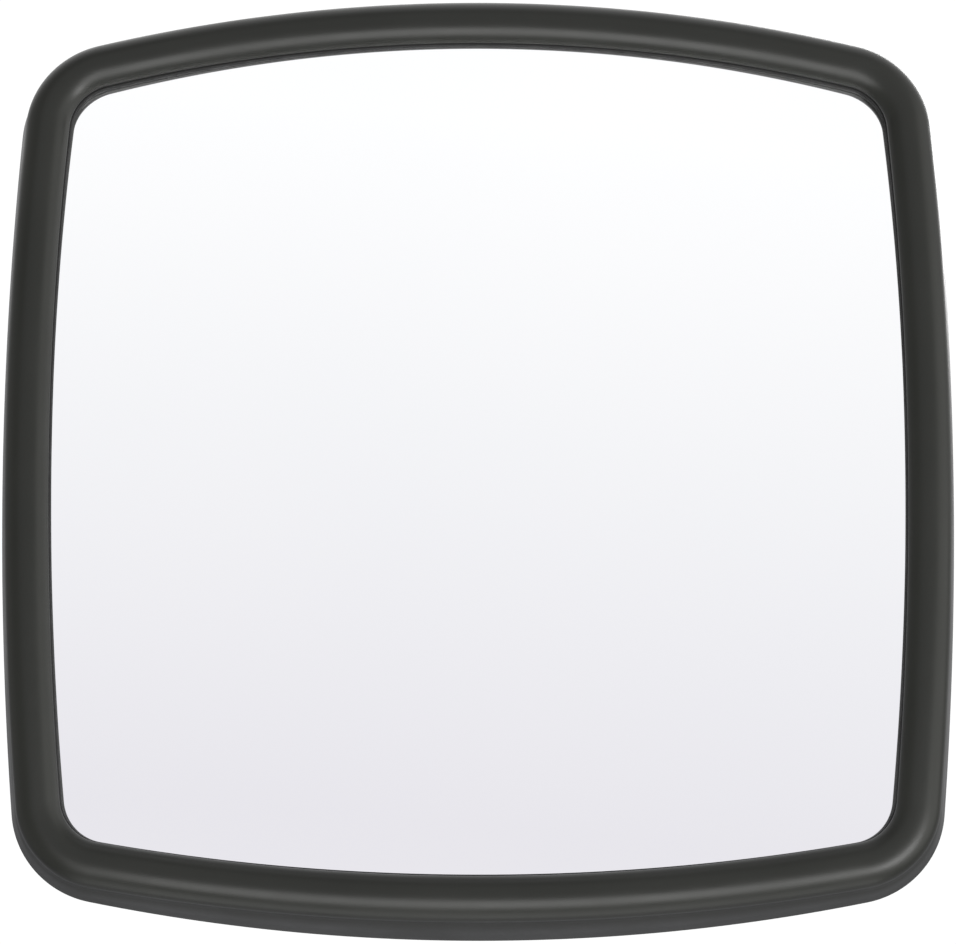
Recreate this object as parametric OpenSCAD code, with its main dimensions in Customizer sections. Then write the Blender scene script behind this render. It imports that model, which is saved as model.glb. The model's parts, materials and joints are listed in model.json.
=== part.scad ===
// Traffic convex mirror on a two-axis pole bracket.
// The pole stands on the Z axis with its middle at the origin, and the mirror faces -Y.

/* [Head] */
// Width and height across the rim's front bead
head_size = 450; // [430:5:480]
// How far each side edge bows outwards
side_bow = 9.9; // [8:0.1:13]
// How far the top and bottom edges bow outwards
top_bow = 25.5; // [22:0.1:30]
// Radius of the rim's outer corners
corner_r = 43.6; // [42:0.2:50]
// Radius of the mirror's spherical face
mirror_r = 1010; // [960:10:1030]

/* [Rim] */
// Radius of the rim's round front bead
bead_r = 11.1; // [11:0.1:11.4]
// Radius of the sphere that the bead's crest follows
crest_r = 1170; // [1140:10:1250]
// Wall thickness of the rim
rim_wall = 2.8; // [2.4:0.1:3]
// Depth of the rim's flat rear edge behind the front vertex
rim_depth = 64; // [63:0.5:66]
// How far the rim's skirt flares outwards at its rear edge
rim_flare = 3; // [1:0.1:4]
// Distance from the rim's outer edge to the edge of the visible mirror
rim_width = 22; // [21.8:0.1:22.1]
// Depth of the mirror's face behind the front vertex
mirror_setback = 8; // [8:0.5:9]
// Thickness of the mirror
mirror_t = 3; // [2.5:0.1:3.5]

/* [Back shell] */
// Wall thickness of the back shell
shell_wall = 3; // [2.5:0.1:3.5]
// Depth of the back shell's flat boss behind the front vertex
dish_depth = 90; // [88:1:100]
// Number of screws round the rim
rim_screw_count = 12; // [8:4:12]

/* [Bracket] */
// Thickness of the bracket plates
plate_t = 5; // [4:0.5:6]
// Radius of the two hinge bolts
hinge_r = 5; // [5:0.5:6]
// Distance from the pole's axis to the pan axis
pan_reach = 75; // [75:1:90]
// Distance from the pan axis to the tilt axis
tilt_reach = 57; // [57:1:70]
// Distance from the tilt axis to the back shell's boss
head_reach = 33; // [33:1:45]

/* [Pole clamp] */
// Radius of the pole
pole_r = 30; // [30:0.1:31]
// Radius of the U-bolt rod
u_rod_r = 4; // [3.5:0.1:4]
// Distance of each U-bolt above and below the middle
u_bolt_z = 55; // [52:1:60]

/* [Hidden] */
$fn = 64;

// Where the axes and the head lie, from the pole forwards
pan_y = -pan_reach;
tilt_y = pan_y - tilt_reach;
boss_y = tilt_y - head_reach;
front_y = boss_y - dish_depth;
rim_back_y = front_y + rim_depth;
mirror_y = front_y + mirror_setback;

// Clearances round a threaded or pressed pin, round a pin that turns, and of a bolt in its hole
fit_gap = 0.04;
run_gap = 0.08;
hole_gap = 0.5;
// Clearances between faces that slide and faces that rest on each other
slide_gap = 0.2;
seat_gap = 0.1;
// The seal's straight chords lie deeper than the mirror's curved face, so this is wider
sheet_gap = 0.25;
// How far a cutter runs past the face that it cuts, and the length of one that goes right through
cut = 1;
through = 100;

// Barrel outline: two side arcs, two end arcs and four corner arcs
half = head_size / 2;
side_half = half - top_bow;
end_half = half - side_bow;
side_arc_r = (pow(side_half, 2) + pow(side_bow, 2)) / (2 * side_bow);
end_arc_r = (pow(end_half, 2) + pow(top_bow, 2)) / (2 * top_bow);
side_c = [half - side_arc_r, 0];
end_c = [0, half - end_arc_r];
span = norm(end_c - side_c);
span_dir = (end_c - side_c) / span;
span_foot = (pow(side_arc_r - corner_r, 2) - pow(end_arc_r - corner_r, 2) + span * span) / (2 * span);
span_rise = sqrt(pow(side_arc_r - corner_r, 2) - pow(span_foot, 2));
corner_c = side_c + span_foot * span_dir + span_rise * [-span_dir.y, span_dir.x];
corner_from = atan2(corner_c.y - side_c.y, corner_c.x - side_c.x);
corner_to = atan2(corner_c.y - end_c.y, corner_c.x - end_c.x);

// Each station is [x, z, outward x, outward z]
function arc_stations(c, r, from, to, steps) = [
    for (i = [0 : steps - 1])
        let (t = from + (to - from) * i / steps)
        [c.x + r * cos(t), c.y + r * sin(t), cos(t), sin(t)]
];
side_steps = 5;
corner_steps = 9;
end_steps = 6;
QUARTER = concat(
    arc_stations(side_c, side_arc_r, 0, corner_from, side_steps),
    arc_stations(corner_c, corner_r, corner_from, corner_to, corner_steps),
    arc_stations(end_c, end_arc_r, corner_to, 90, end_steps)
);
UPPER = concat(
    QUARTER,
    [[0, half, 0, 1]],
    [for (i = [len(QUARTER) - 1 : -1 : 1]) let (s = QUARTER[i]) [-s[0], s[1], -s[2], s[3]]]
);
STATIONS = concat(UPPER, [for (s = UPPER) -s]);

// The point of a station moved inwards from the outline
function inset(s, n) = [s[0] - n * s[2], s[1] - n * s[3]];
function sag(r, radius) = radius - sqrt(radius * radius - r * r);

// Rings round the head: at a depth behind the bead's crest, behind the mirror's face, or on a plane
function at_crest(n, depth) = [
    for (s = STATIONS)
        let (p = inset(s, n))
        [p.x, front_y + depth + sag(norm(inset(s, bead_r)), crest_r), p.y]
];
function at_mirror(n, depth) = [
    for (s = STATIONS)
        let (p = inset(s, n))
        [p.x, mirror_y + depth + sag(norm(p), mirror_r - depth), p.y]
];
function on_plane(n, y, scale = 1) = [
    for (s = STATIONS)
        let (p = inset(s, n) * scale)
        [p.x, y, p.y]
];

// Triangles between neighbouring rings
function band_faces(low, high, size) = [
    for (i = [0 : size - 1])
        let (j = (i + 1) % size)
        each [
            [low * size + i, low * size + j, high * size + j],
            [low * size + i, high * size + j, high * size + i]
        ]
];

// A closed tube through the rings, where the last joins the first
module ring_tube(rings) {
    size = len(rings[0]);
    polyhedron(
        points = [for (r = rings) each r],
        faces = [for (k = [0 : len(rings) - 1]) each band_faces(k, (k + 1) % len(rings), size)],
        convexity = 8
    );
}

// A solid through the rings, with a flat cap on the first and on the last
module ring_stack(rings) {
    size = len(rings[0]);
    last = len(rings) - 1;
    polyhedron(
        points = [for (r = rings) each r],
        faces = concat(
            [[for (i = [size - 1 : -1 : 0]) i]],
            [for (k = [0 : last - 1]) each band_faces(k, k + 1, size)],
            [[for (i = [0 : size - 1]) last * size + i]]
        ),
        convexity = 8
    );
}

// Places and plain shapes that several pieces share
module along_y(y) {
    translate([0, y, 0])
        rotate([90, 0, 0])
            children();
}

module along_x() {
    rotate([0, 90, 0])
        children();
}

module both_ends() {
    children();
    mirror([0, 0, 1])
        children();
}

module disc(r, bore, h) {
    difference() {
        cylinder(r = r, h = h);
        translate([0, 0, -cut])
            cylinder(r = bore, h = h + 2 * cut);
    }
}

module hex_prism(flats, h) {
    cylinder(d = flats / cos(30), h = h, $fn = 6);
}

module hex_nut(flats, bore, h) {
    difference() {
        hex_prism(flats, h);
        translate([0, 0, -cut])
            cylinder(r = bore, h = h + 2 * cut);
    }
}

// A bolt with the underside of its head at z = 0 and its shank downwards
module hex_bolt(r, flats, head_h, length) {
    hex_prism(flats, head_h);
    translate([0, 0, -length])
        cylinder(r = r, h = length);
}

// A plate with one round end on the Z axis and a square end towards +Y
module eye_plate(r, length, t) {
    cylinder(r = r, h = t);
    translate([-r, 0, 0])
        cube([2 * r, length, t]);
}

// ---- Rim ----

// The seal's lip stands this far off the mirror, and this width of it shows inside the rim
lip_t = 1.5;
lip_strip = 0.8;
// The foot of the bead, which presses on the seal, and the shadow groove under its visible edge
foot_depth = -lip_t - seat_gap;
foot_inset = rim_width - lip_strip;
foot_t = 2.8;
groove_w = 1;
groove_h = 0.4;
// Where the bead turns into the skirt: how far outside the outline, and how deep
skirt_out = 0.6;
skirt_top = bead_r + 6;
bore_r = bead_r - rim_wall;
// The bead's arc, from above the groove round to the skirt
bead_from = acos(foot_inset / bead_r - 1);
bead_to = 190;
bead_steps = 8;
// The arc of the hollow behind it
hollow_from = 180;
hollow_to = 52;
hollow_steps = 4;
screw_inset = 9.5;
boss_r = 3.6;
// The flange's curve rises across a boss, so the boss ends short of it
boss_gap = 1.1;
bore_depth = 9;
screw_r = 2;

// The station nearest to each screw
function screw_station(i) = STATIONS[round((i + 0.5) * len(STATIONS) / rim_screw_count)];
function screw_at(i) = inset(screw_station(i), screw_inset);
function flange_y(p, depth) = mirror_y + depth + sag(norm(p), mirror_r - depth);

module bead_bosses() {
    for (i = [0 : rim_screw_count - 1]) {
        p = screw_at(i);
        top = front_y + rim_wall / 2 + sag(norm(inset(screw_station(i), bead_r)), crest_r);
        bottom = flange_y(p, flange_depth) - boss_gap;
        translate([p.x, 0, p.y])
            along_y(bottom)
                cylinder(r = boss_r, h = bottom - top);
    }
}

module bead_boss_bores() {
    for (i = [0 : rim_screw_count - 1]) {
        p = screw_at(i);
        bottom = flange_y(p, flange_depth);
        translate([p.x, 0, p.y])
            along_y(bottom + cut)
                cylinder(r = screw_r + fit_gap, h = bore_depth);
    }
}

module bezel() {
    groove = [
        at_mirror(foot_inset - groove_w, foot_depth),
        at_mirror(foot_inset, foot_depth - groove_h)
    ];
    bead = [
        for (i = [0 : bead_steps])
            let (t = bead_from + (bead_to - bead_from) * i / bead_steps)
            at_crest(bead_r + bead_r * cos(t), bead_r - bead_r * sin(t))
    ];
    skirt = [
        at_crest(-skirt_out, skirt_top),
        on_plane(-rim_flare, rim_back_y),
        on_plane(rim_wall - rim_flare, rim_back_y),
        at_crest(rim_wall - skirt_out, skirt_top)
    ];
    hollow = [
        for (i = [0 : hollow_steps])
            let (t = hollow_from + (hollow_to - hollow_from) * i / hollow_steps)
            at_crest(bead_r + bore_r * cos(t), bead_r - bore_r * sin(t))
    ];
    foot = [at_mirror(foot_inset - groove_w - foot_t, foot_depth)];
    color("#3a3b38")
        difference() {
            union() {
                ring_tube(concat(groove, bead, skirt, hollow, foot));
                bead_bosses();
            }
            bead_boss_bores();
        }
}

// ---- Mirror and seal ----

mirror_inset = 16;
channel_inset = 14;
channel_web = 1.8;
rear_leg_t = 2.3;
rear_leg_end = rim_width - 1.8;

module lens_seal() {
    front = -lip_t;
    back = mirror_t + seat_gap + rear_leg_t;
    color("#1c1c1c")
        ring_tube([
            at_mirror(channel_inset, front),
            at_mirror(channel_inset, back),
            at_mirror(rear_leg_end, back),
            at_mirror(rear_leg_end, mirror_t + seat_gap),
            at_mirror(channel_inset + channel_web, mirror_t + seat_gap),
            at_mirror(channel_inset + channel_web, -sheet_gap),
            at_mirror(rim_width, -sheet_gap),
            at_mirror(rim_width, front)
        ]);
}

module mirror_lens() {
    color("#e9e9ee")
        intersection() {
            along_y(rim_back_y)
                linear_extrude(rim_depth)
                    polygon([for (s = STATIONS) inset(s, mirror_inset)]);
            translate([0, mirror_y + mirror_r, 0])
                difference() {
                    sphere(r = mirror_r, $fn = 360);
                    sphere(r = mirror_r - mirror_t, $fn = 360);
                }
        }
}

// ---- Back shell ----

flange_depth = mirror_t + rear_leg_t + 2 * seat_gap;
flange_back = flange_depth + shell_wall;
flange_inset = 3.8;
wall_inset = 22;
dome_inset = 26;
dome_depth = 70;
dome_y = front_y + dome_depth;
boss_scale = 0.36;
dome_steps = 6;
screw_pad_r = 5.2;
screw_pad_h = 1.6;
screw_thread = 11;
screw_head_r = 4;
screw_head_h = 2.4;
recess_r = 1;
drain_r = 3;
drain_x = 60;
drain_ahead = 8;
drain_y = dome_y - drain_ahead;
mount_x = 45;
mount_z = 35;
mount_r = 4;

// The dome from its edge (u = 0) to the flat boss (u = 1)
function dome_ring(n, y, u) = on_plane(n, y + (boss_y - dome_y) * sin(90 * u), 1 - (1 - boss_scale) * u);

module at_mount_bolts() {
    for (x = [-mount_x, mount_x], z = [-mount_z, mount_z])
        translate([x, 0, z])
            children();
}

module at_screws() {
    for (i = [0 : rim_screw_count - 1]) {
        p = screw_at(i);
        translate([p.x, flange_y(p, flange_back) + screw_pad_h, p.y])
            rotate([90, 0, 0])
                children();
    }
}

module back_shell() {
    inside = [
        for (k = [dome_steps : -1 : 0])
            dome_ring(dome_inset + shell_wall, dome_y - shell_wall, k / dome_steps)
    ];
    flange = [
        at_mirror(wall_inset + shell_wall, flange_depth),
        at_mirror(flange_inset, flange_depth),
        at_mirror(flange_inset, flange_back),
        at_mirror(wall_inset, flange_back)
    ];
    outside = [
        for (k = [0 : dome_steps])
            dome_ring(dome_inset, dome_y, k / dome_steps)
    ];
    color("#2b2c2b")
        difference() {
            union() {
                ring_stack(concat(inside, flange, outside));
                at_screws()
                    cylinder(r = screw_pad_r, h = screw_pad_h + shell_wall / 2);
            }
            at_screws()
                translate([0, 0, -cut])
                    cylinder(r = screw_r + slide_gap, h = screw_pad_h + 2 * shell_wall + cut);
            at_mount_bolts()
                along_y(boss_y + cut)
                    cylinder(r = mount_r + hole_gap, h = shell_wall + 2 * cut);
            for (x = [-drain_x, drain_x])
                translate([x, drain_y, -half])
                    cylinder(r = drain_r, h = 2 * dome_inset);
        }
}

module rim_screws() {
    color("silver")
        at_screws() {
            translate([0, 0, -screw_head_h])
                disc(screw_head_r, recess_r, screw_head_h);
            cylinder(r = screw_r, h = screw_thread);
        }
}

// ---- Head bracket and its bolts ----

plate_x = 60;
plate_z = 50;
backing_t = 3;
m8_flats = 13;
m8_head_h = 5.3;
m8_nut_h = 6.5;
m8_washer_r = 8;
m8_washer_t = 1.6;
mount_length = 27;
bracket_back_y = boss_y + plate_t;
ear_r = 20;
yoke_half = 26;
disc_t = 1;
disc_margin = 3;
ear_gap = yoke_half + disc_t + slide_gap;

module backing_plate() {
    color("silver")
        difference() {
            translate([-plate_x, boss_y - shell_wall - backing_t, -plate_z])
                cube([2 * plate_x, backing_t, 2 * plate_z]);
            at_mount_bolts()
                along_y(boss_y)
                    cylinder(r = mount_r + hole_gap, h = shell_wall + backing_t + cut);
        }
}

module mount_bolts() {
    head_y = boss_y - shell_wall - backing_t;
    color("silver")
        at_mount_bolts()
            along_y(head_y)
                hex_bolt(mount_r, m8_flats, m8_head_h, mount_length);
}

module mount_washers() {
    color("gainsboro")
        at_mount_bolts()
            along_y(bracket_back_y + m8_washer_t)
                disc(m8_washer_r, mount_r + hole_gap, m8_washer_t);
}

module mount_nuts() {
    color("silver")
        at_mount_bolts()
            along_y(bracket_back_y + m8_washer_t + m8_nut_h)
                hex_nut(m8_flats, mount_r + fit_gap, m8_nut_h);
}

module head_bracket() {
    color("lightsteelblue")
        difference() {
            union() {
                translate([-plate_x, boss_y, -plate_z])
                    cube([2 * plate_x, plate_t, 2 * plate_z]);
                for (x = [-ear_gap - plate_t, ear_gap])
                    translate([x, tilt_y, 0])
                        rotate([0, 90, 0])
                            rotate([0, 0, 180])
                                eye_plate(ear_r, head_reach, plate_t);
            }
            translate([0, tilt_y, 0])
                along_x()
                    cylinder(r = hinge_r + run_gap, h = through, center = true);
            at_mount_bolts()
                along_y(bracket_back_y + cut)
                    cylinder(r = mount_r + hole_gap, h = plate_t + 2 * cut);
        }
}

// ---- Swivel between the two axes ----

fork_r = 22;
web_reach = 30;
web_y = pan_y - web_reach;
bush_wall = 3;
bush_r = hinge_r + bush_wall;
m10_flats = 17;
m10_head_h = 6.4;
m10_nut_h = 10;
m10_washer_r = 10;
m10_washer_t = 2;
tail = 3;
fork_gap = yoke_half - plate_t;
outer_face = ear_gap + plate_t + slide_gap;

module swivel_yoke() {
    color("lightsteelblue")
        difference() {
            union() {
                both_ends()
                    translate([0, pan_y, fork_gap])
                        rotate([0, 0, 180])
                            eye_plate(fork_r, pan_y - web_y, plate_t);
                translate([-yoke_half, web_y - plate_t, -yoke_half])
                    cube([2 * yoke_half, plate_t, 2 * yoke_half]);
                for (x = [-yoke_half, fork_gap])
                    translate([x, tilt_y, 0])
                        rotate([0, 90, 0])
                            eye_plate(ear_r, web_y - plate_t - tilt_y, plate_t);
            }
            translate([0, pan_y, 0])
                cylinder(r = hinge_r + run_gap, h = through, center = true);
            translate([0, tilt_y, 0])
                along_x()
                    cylinder(r = hinge_r + fit_gap, h = through, center = true);
        }
}

module on_tilt_axis(x) {
    translate([x, tilt_y, 0])
        along_x()
            children();
}

module tilt_bolt() {
    grip = 2 * (outer_face + m10_washer_t) + m10_nut_h + tail;
    color("silver")
        on_tilt_axis(outer_face + m10_washer_t)
            hex_bolt(hinge_r, m10_flats, m10_head_h, grip);
}

module tilt_washers() {
    color("gainsboro")
        for (x = [-outer_face - m10_washer_t, outer_face])
            on_tilt_axis(x)
                disc(m10_washer_r, hinge_r + fit_gap, m10_washer_t);
}

module tilt_nut() {
    color("silver")
        on_tilt_axis(-outer_face - m10_washer_t - m10_nut_h)
            hex_nut(m10_flats, hinge_r + fit_gap, m10_nut_h);
}

module tilt_spacer() {
    color("goldenrod")
        on_tilt_axis(-fork_gap)
            disc(bush_r, hinge_r + fit_gap, 2 * fork_gap);
}

module tilt_friction_discs() {
    color("ivory")
        for (x = [-yoke_half - disc_t, yoke_half])
            on_tilt_axis(x)
                disc(ear_r - disc_margin, hinge_r + fit_gap, disc_t);
}

module pan_bush() {
    color("goldenrod")
        translate([0, pan_y, -fork_gap])
            disc(bush_r, hinge_r + run_gap, 2 * fork_gap);
}

module pan_friction_discs() {
    color("ivory")
        both_ends()
            translate([0, pan_y, yoke_half])
                disc(fork_r - disc_margin, hinge_r + run_gap, disc_t);
}

// ---- Pole bracket and clamp ----

bracket_x = 50;
bracket_z = 75;
saddle_depth = 20;
saddle_h = 30;
saddle_x = 29.5;
seat_depth = 16;
seat_y = seat_depth - pole_r;
saddle_back_y = seat_y - saddle_depth;
bracket_y = saddle_back_y - plate_t;
lug_z = ear_gap;
lug_face = lug_z + plate_t;
gusset_x = 15;
gusset_h = 26;
gusset_run = 20;
u_bend_r = pole_r + slide_gap + u_rod_r;
u_tail = 8;
u_leg = -bracket_y + m8_washer_t + m8_nut_h + u_tail;

module at_u_legs() {
    for (x = [-u_bend_r, u_bend_r], z = [-u_bolt_z, u_bolt_z])
        translate([x, 0, z])
            children();
}

// A triangular stiffener between the plate and a lug
module gusset() {
    translate([-plate_t / 2, 0, 0])
        rotate([90, 0, 90])
            linear_extrude(plate_t)
                polygon([[0, 0], [-gusset_run, 0], [0, gusset_h]]);
}

module pole_bracket() {
    color("lightsteelblue")
        difference() {
            union() {
                translate([-bracket_x, bracket_y, -bracket_z])
                    cube([2 * bracket_x, plate_t, 2 * bracket_z]);
                both_ends() {
                    translate([0, pan_y, lug_z])
                        eye_plate(fork_r, bracket_y - pan_y, plate_t);
                    for (x = [-gusset_x, gusset_x])
                        translate([x, bracket_y, lug_z + plate_t])
                            gusset();
                }
            }
            translate([0, pan_y, 0])
                cylinder(r = hinge_r + fit_gap, h = through, center = true);
            at_u_legs()
                along_y(bracket_y + plate_t + cut)
                    cylinder(r = u_rod_r + hole_gap, h = plate_t + 2 * cut);
        }
}

module on_pan_axis(z) {
    translate([0, pan_y, z])
        children();
}

module pan_bolt() {
    grip = 2 * (lug_face + m10_washer_t) + m10_nut_h + tail;
    color("silver")
        on_pan_axis(lug_face + m10_washer_t)
            hex_bolt(hinge_r, m10_flats, m10_head_h, grip);
}

module pan_washers() {
    color("gainsboro")
        both_ends()
            on_pan_axis(lug_face)
                disc(m10_washer_r, hinge_r + fit_gap, m10_washer_t);
}

module pan_nut() {
    color("silver")
        on_pan_axis(-lug_face - m10_washer_t - m10_nut_h)
            hex_nut(m10_flats, hinge_r + fit_gap, m10_nut_h);
}

module saddle(z) {
    color("lightsteelblue")
        difference() {
            translate([-saddle_x, saddle_back_y, z - saddle_h / 2])
                cube([2 * saddle_x, saddle_depth, saddle_h]);
            cylinder(r = pole_r, h = 4 * bracket_z, center = true);
        }
}

module upper_saddle() {
    saddle(u_bolt_z);
}

module lower_saddle() {
    saddle(-u_bolt_z);
}

module u_bolts() {
    color("silver")
        for (z = [-u_bolt_z, u_bolt_z])
            translate([0, 0, z]) {
                rotate_extrude(angle = 180)
                    translate([u_bend_r, 0])
                        circle(r = u_rod_r);
                for (x = [-u_bend_r, u_bend_r])
                    translate([x, 0, 0])
                        rotate([90, 0, 0])
                            cylinder(r = u_rod_r, h = u_leg);
            }
}

module u_bolt_washers() {
    color("gainsboro")
        at_u_legs()
            along_y(bracket_y)
                disc(m8_washer_r, u_rod_r + hole_gap, m8_washer_t);
}

module u_bolt_nuts() {
    color("silver")
        at_u_legs()
            along_y(bracket_y - m8_washer_t)
                hex_nut(m8_flats, u_rod_r + fit_gap, m8_nut_h);
}

bezel();
lens_seal();
mirror_lens();
back_shell();
rim_screws();
backing_plate();
mount_bolts();
mount_washers();
mount_nuts();
head_bracket();
swivel_yoke();
tilt_bolt();
tilt_washers();
tilt_nut();
tilt_spacer();
tilt_friction_discs();
pan_bush();
pan_friction_discs();
pole_bracket();
pan_bolt();
pan_washers();
pan_nut();
upper_saddle();
lower_saddle();
u_bolts();
u_bolt_washers();
u_bolt_nuts();
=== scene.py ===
"""Looks of the traffic convex mirror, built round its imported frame.

Lengths are in metres. The pole stands on the Z axis and the mirror faces -Y, as in the frame.
"""
import json
import math

import bmesh
import bpy
from mathutils import Matrix, Vector


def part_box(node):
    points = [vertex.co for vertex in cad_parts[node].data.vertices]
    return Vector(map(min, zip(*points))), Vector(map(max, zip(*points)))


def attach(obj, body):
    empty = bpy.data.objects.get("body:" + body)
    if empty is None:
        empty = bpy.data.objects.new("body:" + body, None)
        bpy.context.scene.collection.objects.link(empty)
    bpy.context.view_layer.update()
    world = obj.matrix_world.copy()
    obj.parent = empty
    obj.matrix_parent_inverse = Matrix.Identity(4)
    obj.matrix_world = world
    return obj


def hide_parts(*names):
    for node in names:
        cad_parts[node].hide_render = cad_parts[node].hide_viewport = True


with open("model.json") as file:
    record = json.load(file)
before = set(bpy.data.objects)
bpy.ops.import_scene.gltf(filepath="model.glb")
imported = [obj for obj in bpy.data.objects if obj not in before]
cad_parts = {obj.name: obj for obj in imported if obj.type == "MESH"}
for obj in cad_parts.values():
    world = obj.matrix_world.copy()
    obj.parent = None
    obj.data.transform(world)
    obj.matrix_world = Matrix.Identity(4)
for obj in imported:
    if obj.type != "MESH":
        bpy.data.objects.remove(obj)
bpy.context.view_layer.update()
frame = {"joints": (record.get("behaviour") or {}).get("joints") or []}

MM = 0.001

# ---- Sizes that the frame gives ----

JOINT_Y = {j["name"]: j["pos_m"][1] for j in frame["joints"]}
PAN_Y = JOINT_Y["pan"]
TILT_Y = JOINT_Y["tilt"]
BOSS_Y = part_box("back_shell")[1].y
RIM_BACK_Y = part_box("bezel")[1].y
BRACKET_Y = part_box("u_bolt_washers")[1].y
PLATE_T = 5 * MM

# ---- Driving sizes of the head, the same as in the design ----

RIM_FLARE = 3 * MM
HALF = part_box("bezel")[1].x - RIM_FLARE
SIDE_BOW = 9.9 * MM
END_BOW = 25.5 * MM
CORNER_R = 43.6 * MM
MIRROR_R = 1.01
MIRROR_SETBACK = 8 * MM
MIRROR_T = 3 * MM
DISH_DEPTH = 90 * MM
BEAD_R = 11.1 * MM
CREST_R = 1.17
RIM_WALL = 2.8 * MM
RIM_WIDTH = 22 * MM
SHELL_WALL = 3 * MM
FRONT_Y = BOSS_Y - DISH_DEPTH
MIRROR_Y = FRONT_Y + MIRROR_SETBACK

# ---- Driving sizes of the bracket ----

YOKE_HALF = 26 * MM
DISC_T = 1 * MM
SLIDE_GAP = 0.2 * MM
RUN_GAP = 0.08 * MM
EAR_R = 20 * MM
FORK_R = 22 * MM
HINGE_R = 5 * MM
WEB_REACH = 30 * MM
MOUNT_X = 45 * MM
MOUNT_Z = 35 * MM
M8_R = 4 * MM
M8_FLATS = 13 * MM
M8_HEAD = 5.3 * MM
M8_NUT = 6.5 * MM
M8_PITCH = 1.25 * MM
M8_WASHER_R = 8 * MM
M8_WASHER_T = 1.6 * MM
M10_FLATS = 17 * MM
M10_HEAD = 6.4 * MM
M10_NUT = 10 * MM
M10_PITCH = 1.5 * MM
M10_WASHER_R = 10 * MM
M10_WASHER_T = 2 * MM
M8_HOLE_R = M8_R + 0.5 * MM
TAIL = 3 * MM
HEAD_PLATE_X = 60 * MM
HEAD_PLATE_Z = 50 * MM
PLATE_CORNER = 8 * MM
BACKING_T = 3 * MM
BACKING_CORNER = 6 * MM
MOUNT_BOLT = 27 * MM
MOUNT_THREAD = 20 * MM
HINGE_THREAD = 26 * MM
TUBE_WALL = 3 * MM
DISC_INSET = 3 * MM
POLE_PLATE_X = 50 * MM
POLE_PLATE_Z = 75 * MM
GUSSET_X = 15 * MM
GUSSET_L = 26 * MM
GUSSET_H = 20 * MM
EAR_GAP = YOKE_HALF + DISC_T + SLIDE_GAP
FORK_GAP = YOKE_HALF - PLATE_T
OUTER_FACE = EAR_GAP + PLATE_T + SLIDE_GAP
LUG_FACE = EAR_GAP + PLATE_T
WEB_Y = PAN_Y - WEB_REACH
POLE_R = 30 * MM
U_BEND_R = POLE_R + SLIDE_GAP + M8_R
U_BOLT_Z = 55 * MM
U_BOLT_TAIL = 8 * MM
U_BOLT_THREAD = 34 * MM
SADDLE_X = 29.5 * MM
SADDLE_H = 30 * MM
SADDLE_DEPTH = 20 * MM
SADDLE_WRAP = 16 * MM
TEETH = 48
TOOTH = 0.35 * MM
EDGE = 0.7 * MM
HEX_STEPS = 72
THREAD_STEPS = 8


# ---- Mesh building ----

def new_mesh(name, verts, faces):
    """A mesh made of its vertices and faces."""
    mesh = bpy.data.meshes.new(name)
    mesh.from_pydata(verts, [], faces)
    return mesh


def new_object(name, data):
    """An object with its data, linked into the scene."""
    obj = bpy.data.objects.new(name, data)
    bpy.context.scene.collection.objects.link(obj)
    return obj


class Shape:
    """Closed solids gathered into one mesh."""

    def __init__(self):
        self.verts = []
        self.faces = []

    def add(self, verts, faces, matrix=None):
        """Takes one more solid in, moved by a matrix if one is given."""
        base = len(self.verts)
        self.verts += [tuple(matrix @ Vector(v)) if matrix else tuple(v) for v in verts]
        self.faces += [tuple(base + i for i in face) for face in faces]
        return self

    def piece(self, name, body, nodes, slot, finish, sharp=32):
        """Makes the object, which rides on a body and replaces CAD nodes. Edges past an angle stay sharp."""
        mesh = new_mesh(name, self.verts, self.faces)
        work = bmesh.new()
        work.from_mesh(mesh)
        bmesh.ops.remove_doubles(work, verts=work.verts, dist=1e-7)
        bmesh.ops.recalc_face_normals(work, faces=work.faces)
        work.to_mesh(mesh)
        work.free()
        mesh.shade_smooth()
        mesh.set_sharp_from_angle(angle=math.radians(sharp))
        mesh.materials.append(finish)
        obj = new_object(name, mesh)
        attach(obj, body)
        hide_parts(*nodes)
        return obj


def bridge(rings, closed):
    """A tube through rings of equal length, as vertices and faces. Closed, its last ring joins the first."""
    size = len(rings[0])
    verts = [p for ring in rings for p in ring]
    faces = []
    for k in range(len(rings) if closed else len(rings) - 1):
        low, high = k * size, (k + 1) % len(rings) * size
        for i in range(size):
            j = (i + 1) % size
            faces.append((low + i, low + j, high + j, high + i))
    return verts, faces


def capped(rings):
    """A tube through rings, closed by a flat face at each end."""
    verts, faces = bridge(rings, closed=False)
    size, last = len(rings[0]), (len(rings) - 1) * len(rings[0])
    faces.append(tuple(range(size)))
    faces.append(tuple(last + i for i in range(size)))
    return verts, faces


def at(x, y, z, turn=Matrix.Identity(4)):
    """The matrix that turns a solid and then moves it to a place."""
    return Matrix.Translation((x, y, z)) @ turn


def turned(origin, x_axis, y_axis):
    """The matrix that lays local X and Y along the given axes, with its origin at a point."""
    x_axis, y_axis = Vector(x_axis), Vector(y_axis)
    turn = Matrix((x_axis, y_axis, x_axis.cross(y_axis))).transposed()
    return Matrix.Translation(origin) @ turn.to_4x4()


FORWARDS = turned((0, 0, 0), (1, 0, 0), (0, 0, 1))
REARWARDS = turned((0, 0, 0), (1, 0, 0), (0, 0, -1))
RIGHTWARDS = turned((0, 0, 0), (0, 0, -1), (0, 1, 0))


def circle(radius, z, steps=48):
    """A ring of points round the Z axis. The radius and height are numbers or functions of the angle."""
    angles = [2 * math.pi * i / steps for i in range(steps)]
    sizes = [radius(a) if callable(radius) else radius for a in angles]
    heights = [z(a) if callable(z) else z for a in angles]
    return [(r * math.cos(a), r * math.sin(a), h) for a, r, h in zip(angles, sizes, heights)]


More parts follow.
